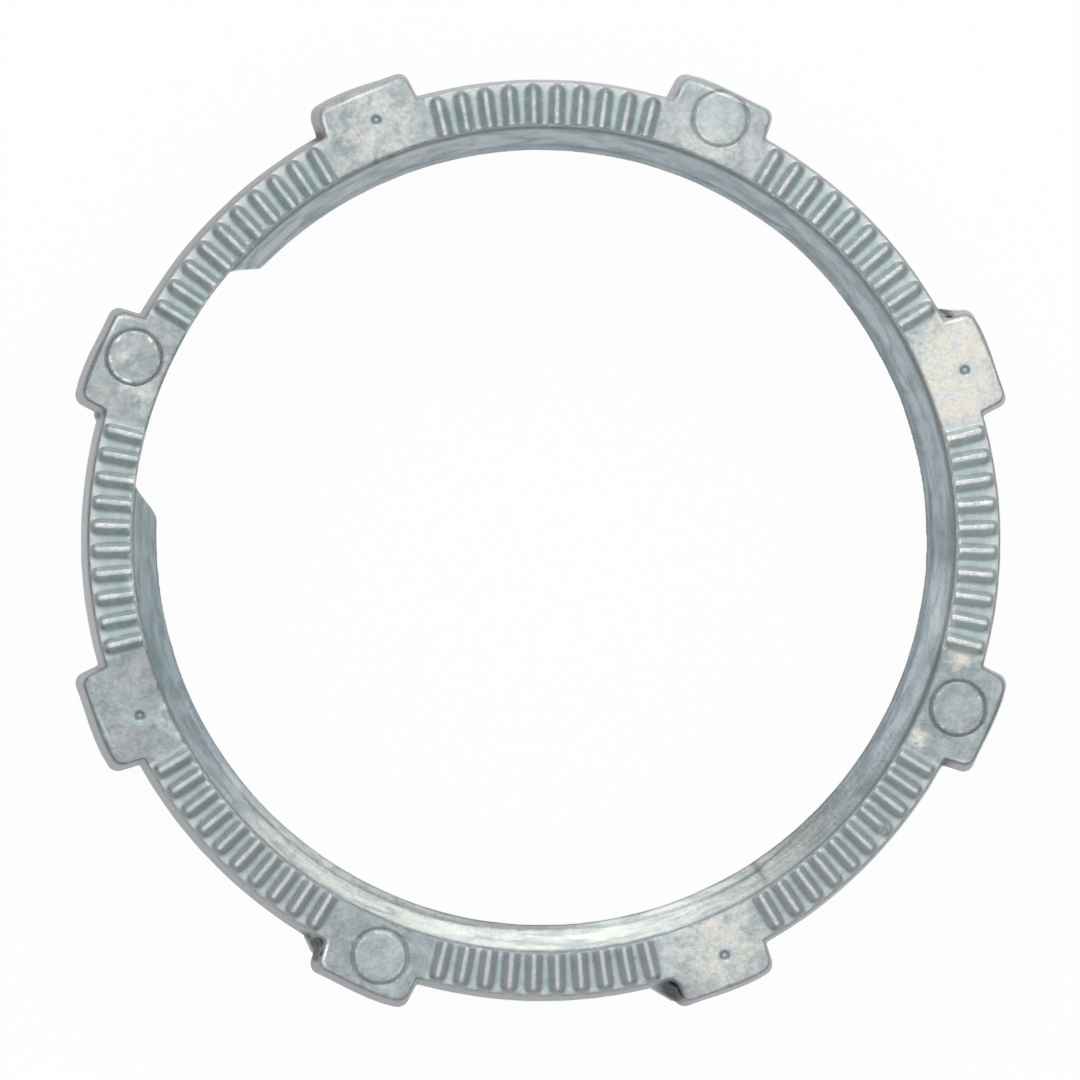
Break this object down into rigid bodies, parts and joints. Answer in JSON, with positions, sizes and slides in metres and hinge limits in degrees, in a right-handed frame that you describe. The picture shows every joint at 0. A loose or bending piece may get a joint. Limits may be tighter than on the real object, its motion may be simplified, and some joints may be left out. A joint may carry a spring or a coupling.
{
  "type": "conduit locknut",
  "caption": "Round die-cast locknut with driving lugs, a ribbed bearing face and one turn of internal pipe thread, for fastening a conduit connector in a box wall.",
  "frame": {"origin": "on the bore axis, at the flat back face", "axes": "+Z along the bore axis towards the ribbed bearing face; +X towards the middle of a rib group between two lugs"},
  "size_m": [0.083, 0.083, 0.0095],
  "materials": {
    "cast_zinc": "dull as-cast zinc, mottled blue-grey with pale stains"
  },
  "bodies": {
    "root": {"locknut": "cast_zinc"}
  },
  "joints": []
}
